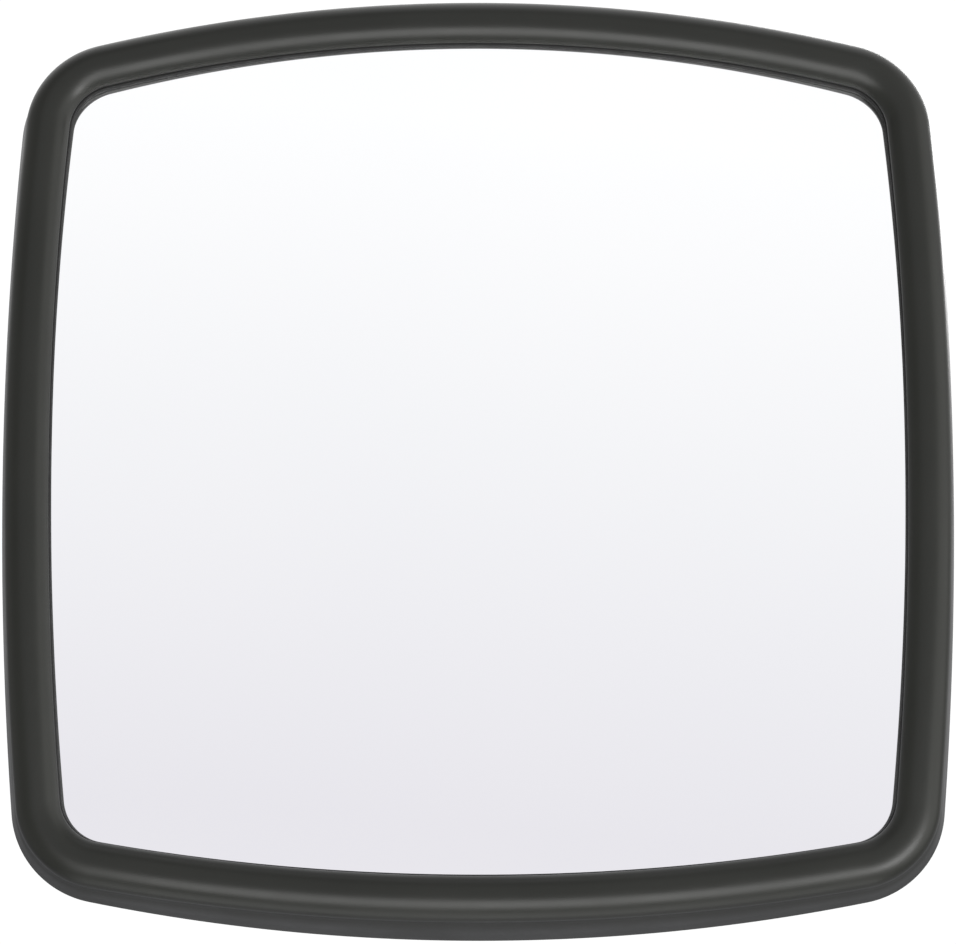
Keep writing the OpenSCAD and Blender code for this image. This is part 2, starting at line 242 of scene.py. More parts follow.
def washer(radius, bore, thickness, edge=0.25 * MM, steps=56):
    """A flat ring on z = 0 with broken edges."""
    profile = [
        (bore + edge, 0), (radius - edge, 0), (radius, edge), (radius, thickness - edge),
        (radius - edge, thickness), (bore + edge, thickness), (bore, thickness - edge), (bore, edge),
    ]
    return bridge([circle(r, z, steps) for r, z in profile], closed=True)


def hex_profile(flats, height, both):
    """Radii and heights of a hexagon with its corners turned off at the top, and below too if both."""
    apothem = flats / 2
    turned_r = apothem * 0.96
    slope = math.tan(math.radians(30))

    def hex_r(a):
        return apothem / math.cos(a % (math.pi / 3) - math.pi / 6)

    def drop(a):
        return max(0, hex_r(a) - turned_r) * slope

    low = [(turned_r, 0), (hex_r, drop)] if both else [(hex_r, 0)]
    return low + [(hex_r, lambda a: height - drop(a)), (turned_r, height)]


def hex_nut(flats, bore, height):
    """A nut on z = 0 with turned corners and a countersunk bore."""
    sink = 0.6 * MM
    profile = [(bore, sink), (bore + sink, 0)]
    profile += hex_profile(flats, height, both=True)
    profile += [(bore + sink, height), (bore, height - sink)]
    return bridge([circle(r, z, HEX_STEPS) for r, z in profile], closed=True)


def thread(radius, pitch, start, end):
    """The radius of a rod at a length and an angle, with a screw thread from start to end."""
    depth = 0.58 * pitch
    run_out = 2 * pitch

    def radius_at(length, angle):
        if not start <= length <= end:
            return radius
        phase = (length / pitch - angle / (2 * math.pi)) % 1
        # Sloping flanks, with a flat at the root and another at the crest.
        groove = min(max(1.25 - 2.5 * abs(phase - 0.5) * 1.25, 0), 1)
        fade = min((length - start) / run_out, 1)
        return radius - depth * groove * fade

    return radius_at


def rod(path, radius_at, tip, steps=32):
    """A rod along a path of (length, centre, side, up), chamfered by tip at both ends."""
    total = path[-1][0]
    rings = []
    for length, centre, side, up in path:
        ring = []
        for i in range(steps):
            a = 2 * math.pi * i / steps
            r = radius_at(length, a) - max(0, tip - (total - length)) - max(0, tip - length)
            ring.append(tuple(centre + side * (r * math.cos(a)) + up * (r * math.sin(a))))
        rings.append(ring)
    return capped(rings)


def straight_path(length, pitch, start):
    """Stations down the -Z axis, close together where there is a thread."""
    step = pitch / THREAD_STEPS
    count = int((length - start) / step)
    lengths = [0, start * 0.5] if start > 0 else [0]
    lengths += [start + (length - start) * i / count for i in range(count + 1)]
    return [(s, Vector((0, 0, -s)), Vector((1, 0, 0)), Vector((0, -1, 0))) for s in lengths]


def hex_bolt(shape, radius, flats, head, length, pitch, threaded, matrix):
    """A bolt with the underside of its head at z = 0 and its shank down -Z."""
    rings = [circle(r, z, HEX_STEPS) for r, z in hex_profile(flats, head, both=False)]
    shape.add(*capped(rings), matrix)
    start = length - threaded
    shank = rod(straight_path(length, pitch, start), thread(radius, pitch, start, length), tip=0.7 * MM)
    shape.add(*shank, matrix)


# ---- Plates ----

def arc_points(cx, cy, radius, start, end, steps):
    """Points along an arc, from one angle to another in degrees."""
    return [
        (cx + radius * math.cos(t), cy + radius * math.sin(t))
        for t in (math.radians(start + (end - start) * i / steps) for i in range(steps + 1))
    ]


def round_rectangle(x0, y0, x1, y1, radius, steps=8):
    """A rectangle's outline with round corners, anticlockwise."""
    corners = ((x1, y1, 0), (x0, y1, 90), (x0, y0, 180), (x1, y0, 270))
    points = []
    for x, y, start in corners:
        cx = x - radius if x == x1 else x + radius
        cy = y - radius if y == y1 else y + radius
        points += arc_points(cx, cy, radius, start, start + 90, steps)
    return points


def eye_outline(radius, length, steps=40):
    """A plate outline with a round end about the origin and a square end at +Y."""
    square_end = [(radius, length), (-radius, length)]
    return square_end + arc_points(0, 0, radius, 180, 360, steps)[:-1] + [(radius, 0)]


def inset_loop(points, amount):
    """A closed outline moved inwards; a hole listed clockwise grows instead."""
    moved = []
    for i, (x, y) in enumerate(points):
        px, py = points[i - 1]
        nx, ny = points[(i + 1) % len(points)]
        a = Vector((x - px, y - py)).normalized()
        b = Vector((nx - x, ny - y)).normalized()
        na, nb = Vector((a.y, -a.x)), Vector((b.y, -b.x))
        step = (na + nb) / (1 + na.dot(nb)) * amount
        moved.append((x - step.x, y - step.y))
    return moved


def plate(outline, holes, thickness, edge=EDGE):
    """A plate from z = 0 to its thickness, with round holes (x, y, radius) and softened edges."""
    loops = [outline] + [arc_points(x, y, r, 360, 0, 40)[:-1] for x, y, r in holes]
    mesh = bmesh.new()
    rim_edges = {0: [], 1: []}
    profile = [(edge, 0), (edge * 0.29, edge * 0.29), (0, edge)]
    profile += [(inwards, thickness - z) for inwards, z in reversed(profile)]
    for loop in loops:
        rings = []
        for inwards, z in profile:
            rings.append([mesh.verts.new((x, y, z)) for x, y in inset_loop(loop, inwards)])
        size = len(loop)
        for low, high in zip(rings, rings[1:]):
            for i in range(size):
                j = (i + 1) % size
                mesh.faces.new((low[i], low[j], high[j], high[i]))
        for end, ring in ((0, rings[0]), (1, rings[-1])):
            rim_edges[end] += [mesh.edges.get((ring[i], ring[(i + 1) % size])) for i in range(size)]
    for end in (0, 1):
        bmesh.ops.triangle_fill(mesh, edges=rim_edges[end], use_beauty=True)
    mesh.verts.index_update()
    verts = [tuple(v.co) for v in mesh.verts]
    faces = [tuple(v.index for v in f.verts) for f in mesh.faces]
    mesh.free()
    return verts, faces


def weld(shape, start, end, up, side, leg=3.2 * MM):
    """A fillet weld along an inside corner, with the ripples of its passes."""
    run = end - start
    along = run.normalized()
    ripple = 1.5 * MM
    count = max(8, int(run.length / ripple * 5))
    turns = 7
    rings = []
    for k in range(count + 1):
        s = run.length * k / count
        taper = min(1, 0.35 + min(s, run.length - s) / (2 * leg))
        ring = [start + along * s - (up + side) * (0.4 * MM)]
        for i in range(turns):
            a = math.pi / 2 * i / (turns - 1)
            wave = 1 + 0.06 * math.cos(2 * math.pi * (s / ripple + 0.35 * math.sin(2 * a)))
            bulge = 0.82 + 0.1 * abs(math.cos(2 * a))
            r = leg * taper * wave * bulge
            ring.append(start + along * s + side * (r * math.cos(a)) + up * (r * math.sin(a)))
        rings.append(ring)
    shape.add(*capped(rings))


# ---- Head outline ----

def meet(c1, r1, c2, r2):
    """The upper right point where two circles cross."""
    gap = (c2 - c1).length
    along = (c2 - c1) / gap
    foot = (r1 * r1 - r2 * r2 + gap * gap) / (2 * gap)
    rise = math.sqrt(r1 * r1 - foot * foot)
    return c1 + along * foot + Vector((-along.y, along.x)) * rise


def head_stations(side_steps=22, corner_steps=26, end_steps=24):
    """Points of the barrel outline as (x, z, outward x, outward z), anticlockwise from the right."""
    side_half, end_half = HALF - END_BOW, HALF - SIDE_BOW
    side_r = (side_half ** 2 + SIDE_BOW ** 2) / (2 * SIDE_BOW)
    end_r = (end_half ** 2 + END_BOW ** 2) / (2 * END_BOW)
    side_c, end_c = Vector((HALF - side_r, 0)), Vector((0, HALF - end_r))
    corner = meet(side_c, side_r - CORNER_R, end_c, end_r - CORNER_R)
    first = math.atan2(corner.y - side_c.y, corner.x - side_c.x)
    second = math.atan2(corner.y - end_c.y, corner.x - end_c.x)
    quarter = []
    for centre, radius, start, end, steps in (
        (side_c, side_r, 0, first, side_steps),
        (corner, CORNER_R, first, second, corner_steps),
        (end_c, end_r, second, math.pi / 2, end_steps),
    ):
        for i in range(steps):
            t = start + (end - start) * i / steps
            c, s = math.cos(t), math.sin(t)
            quarter.append((centre.x + radius * c, centre.y + radius * s, c, s))
    upper = quarter + [(0, HALF, 0, 1)] + [(-x, z, -nx, nz) for x, z, nx, nz in reversed(quarter[1:])]
    return upper + [(-x, -z, -nx, -nz) for x, z, nx, nz in upper]


STATIONS = head_stations()


def inset(station, n):
    """A station's place, moved inwards by n."""
    x, z, nx, nz = station
    return x - n * nx, z - n * nz


def sag(r, radius):
    """How far a sphere has fallen back at r from its vertex."""
    return radius - math.sqrt(radius * radius - r * r)


def at_crest(n, depth):
    """A ring at a depth behind the crest of the rim's bead."""
    ring = []
    for station in STATIONS:
        x, z = inset(station, n)
        ring.append((x, FRONT_Y + depth + sag(math.hypot(*inset(station, BEAD_R)), CREST_R), z))
    return ring


def at_mirror(n, depth, scale=1):
    """A ring at a depth behind the mirror's face."""
    ring = []
    for station in STATIONS:
        x, z = inset(station, n)
        x, z = x * scale, z * scale
        ring.append((x, MIRROR_Y + depth + sag(math.hypot(x, z), MIRROR_R - depth), z))
    return ring


def on_plane(n, y, scale=1):
    """A flat ring at a height along Y."""
    ring = []
    for station in STATIONS:
        x, z = inset(station, n)
        ring.append((x * scale, y, z * scale))
    return ring


def arc_rings(maker, cn, cd, radius, start, end, steps):
    """Rings along an arc of the section; 0 degrees points to the mirror and 90 forwards."""
    rings = []
    for i in range(steps + 1):
        t = math.radians(start + (end - start) * i / steps)
        rings.append(maker(cn + radius * math.cos(t), cd - radius * math.sin(t)))
    return rings


# ---- Materials ----

def material(name, **sockets):
    """A material with one Principled shader, whose constant sockets are set by name."""
    made = bpy.data.materials.new(name)
    made.use_nodes = True
    shader = made.node_tree.nodes["Principled BSDF"]
    for key, value in sockets.items():
        shader.inputs[key.replace("_", " ")].default_value = value
    return made, made.node_tree, shader


def node(tree, kind, **settings):
    """A new node; settings whose names are inputs set those, and the others set properties."""
    made = tree.nodes.new(kind)
    for key, value in settings.items():
        label = key.replace("_", " ")
        if label in made.inputs:
            made.inputs[label].default_value = value
        else:
            setattr(made, key, value)
    return made


def coordinates(tree):
    """Object coordinates, which are metres in the frame."""
    return node(tree, "ShaderNodeTexCoord").outputs["Object"]


def noise(tree, vector, scale, detail, roughness=0.5):
    """Noise from 0 to 1, with its scale in waves to a metre."""
    made = node(tree, "ShaderNodeTexNoise", Scale=scale, Detail=detail, Roughness=roughness)
    tree.links.new(vector, made.inputs["Vector"])
    return made.outputs["Fac"]


def cells(tree, vector, scale, feature="F1"):
    """A pattern of cells, with its scale in cells to a metre."""
    made = node(tree, "ShaderNodeTexVoronoi", Scale=scale, feature=feature)
    tree.links.new(vector, made.inputs["Vector"])
    return made


def ramp(tree, value, *stops):
    """A colour ramp through stops of (position, grey or colour)."""
    made = node(tree, "ShaderNodeValToRGB")
    band = made.color_ramp
    while len(band.elements) < len(stops):
        band.elements.new(0.5)
    for element, (position, colour) in zip(band.elements, stops):
        element.position = position
        element.color = (*colour, 1) if isinstance(colour, tuple) else (colour, colour, colour, 1)
    tree.links.new(value, made.inputs["Fac"])
    return made.outputs["Color"]


def blend(tree, kind, factor, first, second):
    """Two colours mixed. The factor is a number or a socket."""
    made = node(tree, "ShaderNodeMix", data_type="RGBA", blend_type=kind)
    if isinstance(factor, (int, float)):
        made.inputs["Factor"].default_value = factor
    else:
        tree.links.new(factor, made.inputs["Factor"])
    for socket, value in ((made.inputs[6], first), (made.inputs[7], second)):
        if isinstance(value, tuple):
            socket.default_value = (*value, 1)
        else:
            tree.links.new(value, socket)
    return made.outputs[2]


def bump(tree, height, strength, distance, below=None):
    """A surface raised by a height, over another bump if one is given below it."""
    made = node(tree, "ShaderNodeBump", Strength=strength, Distance=distance)
    tree.links.new(height, made.inputs["Height"])
    if below is not None:
        tree.links.new(below, made.inputs["Normal"])
    return made.outputs["Normal"]


def worn_edges(tree, low, high):
    """0 on flat faces and 1 on outer edges."""
    geometry = node(tree, "ShaderNodeNewGeometry")
    return ramp(tree, geometry.outputs["Pointiness"], (low, 0.0), (high, 1.0))


def noisy(tree, vector, scale, detail, roughness, low, high):
    """Noise through a ramp of two stops."""
    return ramp(tree, noise(tree, vector, scale, detail, roughness), low, high)


def grained(name, tone, shine, grain=None, worn=None, **sockets):
    """A material whose tone and gloss drift, with a fine grain and rubbed edges where they are given.

    Tone and shine are arguments of noisy, grain is (scale, detail, strength, depth) and worn is
    (low, high, colour).
    """
    made, tree, shader = material(name, **sockets)
    vector = coordinates(tree)
    colour = noisy(tree, vector, *tone)
    if worn:
        low, high, rubbed = worn
        colour = blend(tree, "MIX", worn_edges(tree, low, high), colour, rubbed)
    tree.links.new(colour, shader.inputs["Base Color"])
    tree.links.new(noisy(tree, vector, *shine), shader.inputs["Roughness"])
    if grain:
        scale, detail, strength, depth = grain
        grainy = bump(tree, noise(tree, vector, scale, detail), strength, depth)
        tree.links.new(grainy, shader.inputs["Normal"])
    return made


def moulded_plastic(name, dark, light, edge, ior, roughness, grain, grain_depth):
    """Moulded plastic: a fine leathery grain, slow colour drift and rubbed outer edges.

    Dark, light and edge are colours, and grain is how many pebbles there are to a metre.
    """
    made, tree, shader = material(name, IOR=ior)
    vector = coordinates(tree)
    drift = noisy(tree, vector, 9, 4, 0.5, (0.3, dark), (0.7, light))
    speck = noisy(tree, vector, grain * 1.7, 2, 0.5, (0.35, 0.86), (0.65, 1.0))
    toned = blend(tree, "MULTIPLY", 1.0, drift, speck)
    rubbed = blend(tree, "MIX", worn_edges(tree, 0.53, 0.6), toned, edge)
    tree.links.new(rubbed, shader.inputs["Base Color"])
    shine = noisy(tree, vector, 24, 5, 0.6, (0.3, roughness - 0.05), (0.7, roughness + 0.06))
    tree.links.new(shine, shader.inputs["Roughness"])
    pebble = cells(tree, vector, grain, "SMOOTH_F1").outputs["Distance"]
    pebbled = bump(tree, pebble, 0.5, grain_depth)
    waved = bump(tree, noise(tree, vector, 45, 2), 0.25, 0.25 * MM, pebbled)
    tree.links.new(waved, shader.inputs["Normal"])
    return made


def mirror_face():
    """Silvered acrylic: a clear hard face over a bright metal film, with the faintest moulding waves."""
    return grained(
        "mirror_face", Metallic=1.0, Coat_Weight=0.35, Coat_Roughness=0.0,
        tone=(5, 2, 0.5, (0.3, (0.925, 0.93, 0.94)), (0.7, (0.935, 0.938, 0.945))),
        shine=(60, 6, 0.7, (0.4, 0.0), (0.8, 0.025)),
        grain=(7, 1, 0.06, 0.15 * MM))


def mirror_back():
    """The grey protective paint on the mirror's back and cut edge."""
    return grained(
        "mirror_back_paint",
        tone=(60, 4, 0.5, (0.3, (0.16, 0.17, 0.18)), (0.7, (0.22, 0.23, 0.24))),
        shine=(300, 3, 0.5, (0.3, 0.45), (0.7, 0.6)),
        grain=(900, 2, 0.3, 0.03 * MM))


def seal_rubber():
    """Black extruded rubber with a fine grain and a dusty bloom."""
    return grained(
        "seal_rubber", IOR=1.38,
        tone=(70, 5, 0.65, (0.35, 0.007), (0.75, 0.013)),
        shine=(130, 4, 0.5, (0.3, 0.55), (0.7, 0.72)),
        grain=(1500, 2, 0.35, 0.03 * MM))


def galvanised_steel():
    """Hot-dip galvanised steel: crystals of zinc, each of its own grey and gloss."""
    made, tree, shader = material("galvanised_steel", Metallic=1.0)
    vector = coordinates(tree)
    wobble = node(tree, "ShaderNodeTexNoise", Scale=90.0, Detail=2.0)
    tree.links.new(vector, wobble.inputs["Vector"])
    bent = node(tree, "ShaderNodeMix", data_type="RGBA", blend_type="LINEAR_LIGHT")
    bent.inputs["Factor"].default_value = 0.004
    tree.links.new(vector, bent.inputs[6])
    tree.links.new(wobble.outputs["Color"], bent.inputs[7])
    crystal = cells(tree, bent.outputs[2], 150)
    split = node(tree, "ShaderNodeSeparateColor")
    tree.links.new(crystal.outputs["Color"], split.inputs["Color"])
    tone = ramp(tree, split.outputs["Red"], (0.0, (0.29, 0.30, 0.31)), (1.0, (0.45, 0.46, 0.47)))
    dull = noisy(tree, vector, 28, 5, 0.6, (0.35, 0.82), (0.7, 1.0))
    toned = blend(tree, "MULTIPLY", 1.0, tone, dull)
    bright = blend(tree, "MIX", worn_edges(tree, 0.54, 0.66), toned, (0.52, 0.53, 0.54))
    tree.links.new(bright, shader.inputs["Base Color"])
    shine = ramp(tree, split.outputs["Green"], (0.0, 0.34), (1.0, 0.52))
    tree.links.new(shine, shader.inputs["Roughness"])
    lumps = bump(tree, noise(tree, vector, 220, 4), 0.3, 0.08 * MM)
    tree.links.new(bump(tree, split.outputs["Blue"], 0.12, 0.03 * MM, lumps), shader.inputs["Normal"])
    return made


def zinc_plate():
    """Bright zinc plating on fasteners, with a little staining and rubbed corners."""
    return grained(
        "zinc_plate", Metallic=1.0,
        tone=(160, 6, 0.65, (0.35, (0.40, 0.39, 0.36)), (0.6, (0.56, 0.56, 0.55))),
        worn=(0.55, 0.7, (0.66, 0.66, 0.66)),
        shine=(420, 4, 0.5, (0.3, 0.2), (0.7, 0.36)),
        grain=(1400, 3, 0.25, 0.02 * MM))


def natural_nylon():
    """Undyed nylon, a little translucent."""
    return grained(
        "natural_nylon", Subsurface_Weight=0.25, Subsurface_Scale=0.002,
        tone=(110, 4, 0.5, (0.3, (0.62, 0.59, 0.49)), (0.7, (0.74, 0.71, 0.62))),
        shine=(500, 3, 0.5, (0.3, 0.38), (0.7, 0.52)))


def sintered_bronze():
    """Porous bearing bronze, dark in its pores."""
    return grained(
        "sintered_bronze", Metallic=1.0,
        tone=(900, 3, 0.5, (0.35, (0.30, 0.18, 0.07)), (0.6, (0.60, 0.40, 0.18))),
        shine=(700, 3, 0.5, (0.3, 0.3), (0.7, 0.5)),
        grain=(2200, 2, 0.4, 0.03 * MM))


RIM_PLASTIC = moulded_plastic(
    "rim_plastic", dark=(0.0075, 0.008, 0.0064), light=(0.011, 0.0115, 0.0097), edge=(0.026, 0.027, 0.024),
    ior=1.34, roughness=0.34, grain=1500, grain_depth=0.03 * MM)
SHELL_PLASTIC = moulded_plastic(
    "shell_plastic", dark=(0.014, 0.0145, 0.0145), light=(0.02, 0.0205, 0.0205), edge=(0.04, 0.041, 0.041),
    ior=1.46, roughness=0.56, grain=900, grain_depth=0.06 * MM)
MIRROR_FACE = mirror_face()
MIRROR_BACK = mirror_back()
SEAL_RUBBER = seal_rubber()
GALVANISED = galvanised_steel()
ZINC = zinc_plate()
NYLON = natural_nylon()
BRONZE = sintered_bronze()


# ---- Rim, seal and mirror ----

LIP_T = 1.5 * MM
LIP_STRIP = 0.8 * MM
SEAT_GAP = 0.1 * MM
SEAL_INSET = 14 * MM
SEAL_WEB = 1.8 * MM
SEAL_LEG = 2.3 * MM
FOOT_INSET = RIM_WIDTH - LIP_STRIP
FOOT_DEPTH = -LIP_T - SEAT_GAP
FOOT_T = 2.8 * MM
GROOVE_W = 1 * MM
GROOVE_H = 0.4 * MM
SKIRT_OUT = 0.6 * MM
SKIRT_TOP = BEAD_R + 6 * MM


def make_bezel():
    """The rim: a broad round bead over the mirror's seal, and a flared skirt, hollow behind."""
    edge = 0.8 * MM
    soft = 0.3 * edge
    bead_from, bead_to = math.degrees(math.acos(FOOT_INSET / BEAD_R - 1)), 194
    hollow_from, hollow_to = 180, 52
    rings = [
        at_mirror(FOOT_INSET - GROOVE_W, FOOT_DEPTH),
        at_mirror(FOOT_INSET - soft, FOOT_DEPTH - GROOVE_H),
        at_mirror(FOOT_INSET, FOOT_DEPTH - GROOVE_H - soft),
    ]
    rings += arc_rings(at_crest, BEAD_R, BEAD_R, BEAD_R, bead_from, bead_to, steps=40)
    rings += [
        at_crest(-SKIRT_OUT, SKIRT_TOP),
        on_plane(-RIM_FLARE, RIM_BACK_Y - edge),
        on_plane(-RIM_FLARE + soft, RIM_BACK_Y - soft),
        on_plane(-RIM_FLARE + edge, RIM_BACK_Y),
        on_plane(RIM_WALL - RIM_FLARE - edge, RIM_BACK_Y),
        on_plane(RIM_WALL - RIM_FLARE, RIM_BACK_Y - edge),
        at_crest(RIM_WALL - SKIRT_OUT, SKIRT_TOP),
    ]
    rings += arc_rings(at_crest, BEAD_R, BEAD_R, BEAD_R - RIM_WALL, hollow_from, hollow_to, steps=14)
    rings.append(at_mirror(FOOT_INSET - GROOVE_W - FOOT_T, FOOT_DEPTH))
    shape = Shape().add(*bridge(rings, closed=True))
    shape.piece("bezel_moulding", "mirror_head", ["bezel"], "rim_plastic", RIM_PLASTIC, sharp=45)


def make_seal():
    """The channel gasket that holds the mirror's edge; its front leg shows inside the rim's bead."""
    back = MIRROR_T + SEAT_GAP + SEAL_LEG
    back_lip = RIM_WIDTH - 1.8 * MM
    nose = 0.7 * MM
    rings = [
        at_mirror(SEAL_INSET, -LIP_T + nose),
        at_mirror(SEAL_INSET + nose, -LIP_T),
        at_mirror(RIM_WIDTH - nose, -LIP_T),
        at_mirror(RIM_WIDTH - 0.25 * nose, -LIP_T + 0.25 * nose),
        at_mirror(RIM_WIDTH, -LIP_T + nose),
        at_mirror(RIM_WIDTH, -SEAT_GAP),
        at_mirror(SEAL_INSET + SEAL_WEB, -SEAT_GAP),
        at_mirror(SEAL_INSET + SEAL_WEB, MIRROR_T + SEAT_GAP),
        at_mirror(back_lip, MIRROR_T + SEAT_GAP),
        at_mirror(back_lip, back),
        at_mirror(SEAL_INSET + nose, back),
        at_mirror(SEAL_INSET, back - nose),
    ]
    shape = Shape().add(*bridge(rings, closed=True))
    shape.piece("mirror_gasket", "mirror_head", ["lens_seal"], "seal_rubber", SEAL_RUBBER)


def make_mirror():
    """The spherical mirror: a fine grid for its face, a chamfered edge and a painted back."""
    edge_inset = 16 * MM
    chamfer = 0.4 * MM
    steps = 44
    scales = [i / steps for i in range(1, steps + 1)]
    front = [at_mirror(edge_inset + chamfer, 0, s) for s in scales]
    back = [at_mirror(edge_inset + chamfer, MIRROR_T, s) for s in reversed(scales)]
    rim = [at_mirror(edge_inset, chamfer), at_mirror(edge_inset, MIRROR_T - chamfer)]
    rings = front + rim + back
    size = len(STATIONS)
    verts, faces = bridge(rings, closed=False)
    last = (len(rings) - 1) * size
    verts += [(0, MIRROR_Y, 0), (0, MIRROR_Y + MIRROR_T, 0)]
    for i in range(size):
        j = (i + 1) % size
        faces.append((i, j, len(verts) - 2))
        faces.append((last + i, last + j, len(verts) - 1))
    shape = Shape().add(verts, faces)
    mirror = shape.piece("mirror_sheet", "mirror_head", ["mirror_lens"], "mirror_face", MIRROR_FACE)
    mirror.data.materials.append(MIRROR_BACK)
    for face in mirror.data.polygons:
        face.material_index = 0 if face.normal.y < -0.85 else 1
    return mirror


# ---- Back shell and its screws ----

SEAL_BACK = MIRROR_T + 2 * SEAT_GAP + SEAL_LEG
FLANGE_BACK = SEAL_BACK + SHELL_WALL
FLANGE_INSET = 3.8 * MM
WALL_INSET = 22 * MM
DOME_INSET = 26 * MM
DOME_Y = FRONT_Y + 70 * MM
BOSS_SCALE = 0.36
SCREW_COUNT = 12
SCREW_INSET = 9.5 * MM
PAD_R = 5.2 * MM
PAD_H = 1.6 * MM
DRAIN_X = 60 * MM
DRAIN_R = 3 * MM
DRAIN_AHEAD = 8 * MM


def dome_ring(n, y, u):
    """A ring on the dome, from its edge (u = 0) to the flat boss (u = 1)."""
    return on_plane(n, y + (BOSS_Y - DOME_Y) * math.sin(math.pi / 2 * u), 1 - (1 - BOSS_SCALE) * u)


def make_back_shell():
    """The dish: a screwed flange, a steep wall, a rounded shoulder and a shallow dome with a flat boss."""
    soft = 0.6 * MM
    fillet = 1.6 * MM
    shoulder = ((-0.5 * MM, 3.2 * MM), (0.1 * MM, 1.4 * MM), (1.2 * MM, 0.3 * MM))
    steps = 22
    rings = [
        dome_ring(DOME_INSET + SHELL_WALL, DOME_Y - SHELL_WALL, k / steps) for k in range(steps, -1, -1)
    ]
    rings += [
        at_mirror(WALL_INSET + SHELL_WALL, SEAL_BACK),
        at_mirror(FLANGE_INSET + soft, SEAL_BACK),
        at_mirror(FLANGE_INSET, SEAL_BACK + soft),
        at_mirror(FLANGE_INSET, FLANGE_BACK - soft),
        at_mirror(FLANGE_INSET + soft, FLANGE_BACK),
        at_mirror(WALL_INSET - fillet, FLANGE_BACK),
        at_mirror(WALL_INSET - fillet / 4, FLANGE_BACK + fillet * 5 / 16),
        at_mirror(WALL_INSET, FLANGE_BACK + fillet),
    ]
    rings += [on_plane(DOME_INSET + inwards, DOME_Y - ahead) for inwards, ahead in shoulder]
    rings += [dome_ring(DOME_INSET, DOME_Y, 0.03 + 0.97 * k / steps) for k in range(steps + 1)]
    shape = Shape().add(*capped(rings))
    pad = [circle(r, z) for r, z in ((PAD_R, -1 * MM), (PAD_R, PAD_H - 0.5 * MM), (PAD_R - 0.5 * MM, PAD_H))]
    for place in screw_places(0):
        shape.add(*capped(pad), place)
    shell = shape.piece("back_dish", "mirror_head", ["back_shell"], "shell_plastic", SHELL_PLASTIC)
    drains = Shape()
    for x in (-DRAIN_X, DRAIN_X):
        hole = [circle(DRAIN_R, z) for z in (0, 2 * DOME_INSET)]
        drains.add(*capped(hole), at(x, DOME_Y - DRAIN_AHEAD, -HALF))
    cut(shell, drains)


def cut(piece, tool_shape):
    """Cuts closed solids out of a piece."""
    cutter = new_object("cutter", new_mesh("cutter", tool_shape.verts, tool_shape.faces))
    modifier = piece.modifiers.new("holes", "BOOLEAN")
    modifier.operation = "DIFFERENCE"
    modifier.object = cutter
    bpy.context.view_layer.update()
    evaluated = piece.evaluated_get(bpy.context.evaluated_depsgraph_get())
    done = bpy.data.meshes.new_from_object(evaluated)
    piece.modifiers.remove(modifier)
    piece.data = done
    bpy.data.objects.remove(cutter)


def screw_places(lift):
    """Where each rim screw stands, with +Z pointing backwards, at a height above the flange."""
    places = []
    for i in range(SCREW_COUNT):
        turn = (i + 0.5) / SCREW_COUNT * len(STATIONS)
        x, z = inset(STATIONS[round(turn) % len(STATIONS)], SCREW_INSET)
        y = MIRROR_Y + FLANGE_BACK + sag(math.hypot(x, z), MIRROR_R - FLANGE_BACK) + lift
        places.append(at(x, y, z, REARWARDS))
    return places


def make_rim_screws():
    """Pan-head screws with a cross recess."""
    shank_r, shank_l = 2 * MM, 11 * MM
    head_r, head_h = 4 * MM, 2.4 * MM
    recess = 1.3 * MM

    def cross(size):
        return lambda a: size * (0.34 + 0.66 * abs(math.cos(2 * a)) ** 5)

    profile = [
        (shank_r, -shank_l), (shank_r, 0), (head_r - 0.2 * MM, 0), (head_r, 0.3 * MM), (head_r, 1.1 * MM),
        (head_r * 0.93, 1.7 * MM), (head_r * 0.75, 2.15 * MM), (head_r * 0.55, head_h),
        (cross(2 * MM), head_h), (cross(1.6 * MM), head_h - recess),
    ]
    rings = [circle(r, z, 64) for r, z in profile]
    shape = Shape()
    for place in screw_places(PAD_H):
        shape.add(*capped(rings), place)
    shape.piece("rim_screw_set", "mirror_head", ["rim_screws"], "zinc_fasteners", ZINC, sharp=40)


# ---- Bracket ----

STEEL = ("galvanised_steel", GALVANISED)
PLATED = ("zinc_fasteners", ZINC)
ENDS = (-1, 1)


def at_mount_bolts(y):
    """The four matrices of the mount bolts' axes, with +Z pointing forwards."""
    return [at(x, y, z, FORWARDS) for x in (-MOUNT_X, MOUNT_X) for z in (-MOUNT_Z, MOUNT_Z)]


def four_holes(x, y, radius):
    """Holes at the four corners of a rectangle about the origin."""
    return [(sx * x, sy * y, radius) for sx in ENDS for sy in ENDS]


def make_backing_plate():
    """The plate inside the dish that spreads the bracket's load."""
    outline = round_rectangle(-HEAD_PLATE_X, -HEAD_PLATE_Z, HEAD_PLATE_X, HEAD_PLATE_Z, BACKING_CORNER)
    holes = four_holes(MOUNT_X, MOUNT_Z, M8_HOLE_R)
    spreader = plate(outline, holes, BACKING_T, edge=0.4 * MM)
    shape = Shape().add(*spreader, at(0, BOSS_Y - SHELL_WALL, 0, FORWARDS))
    shape.piece("load_spreader", "mirror_head", ["backing_plate"], *STEEL)


